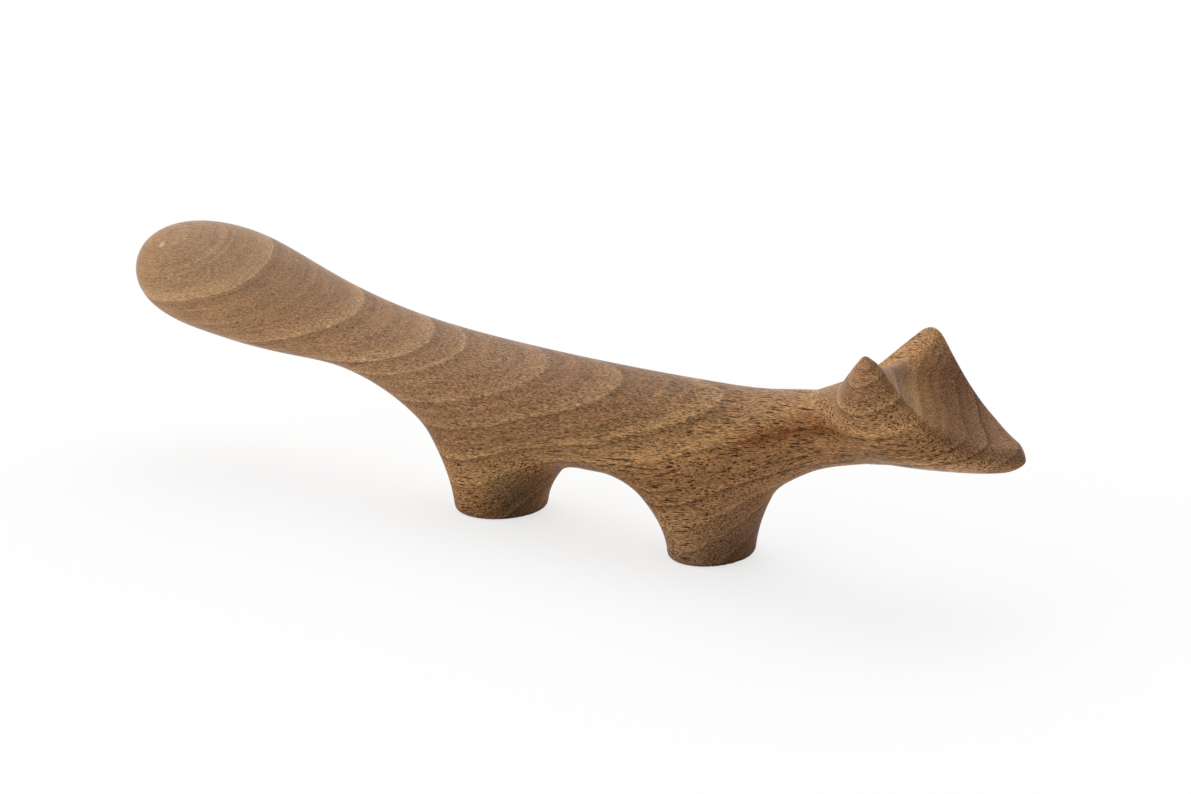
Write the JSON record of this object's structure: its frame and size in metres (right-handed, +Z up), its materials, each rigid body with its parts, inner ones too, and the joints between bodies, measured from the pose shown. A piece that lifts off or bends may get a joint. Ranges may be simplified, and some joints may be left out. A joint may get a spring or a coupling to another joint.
{
  "type": "carved fox figurine",
  "caption": "Stylised walnut fox ornament with an egg-shaped tail, a round body, broad flat-soled legs and a pointed head with a dished face and raised ears; it stands free on a shelf.",
  "frame": {"origin": "on the ground under the middle of the fox's length, in its middle plane", "axes": "+X from the tail to the nose, +Y to the fox's left, +Z up"},
  "size_m": [0.2957, 0.0394, 0.0687],
  "materials": {
    "walnut": "oiled, satin"
  },
  "bodies": {
    "root": {"tail": "walnut", "body": "walnut", "rear_leg": "walnut", "front_leg": "walnut", "head": "walnut", "right_ear": "walnut", "left_ear": "walnut"}
  },
  "joints": []
}
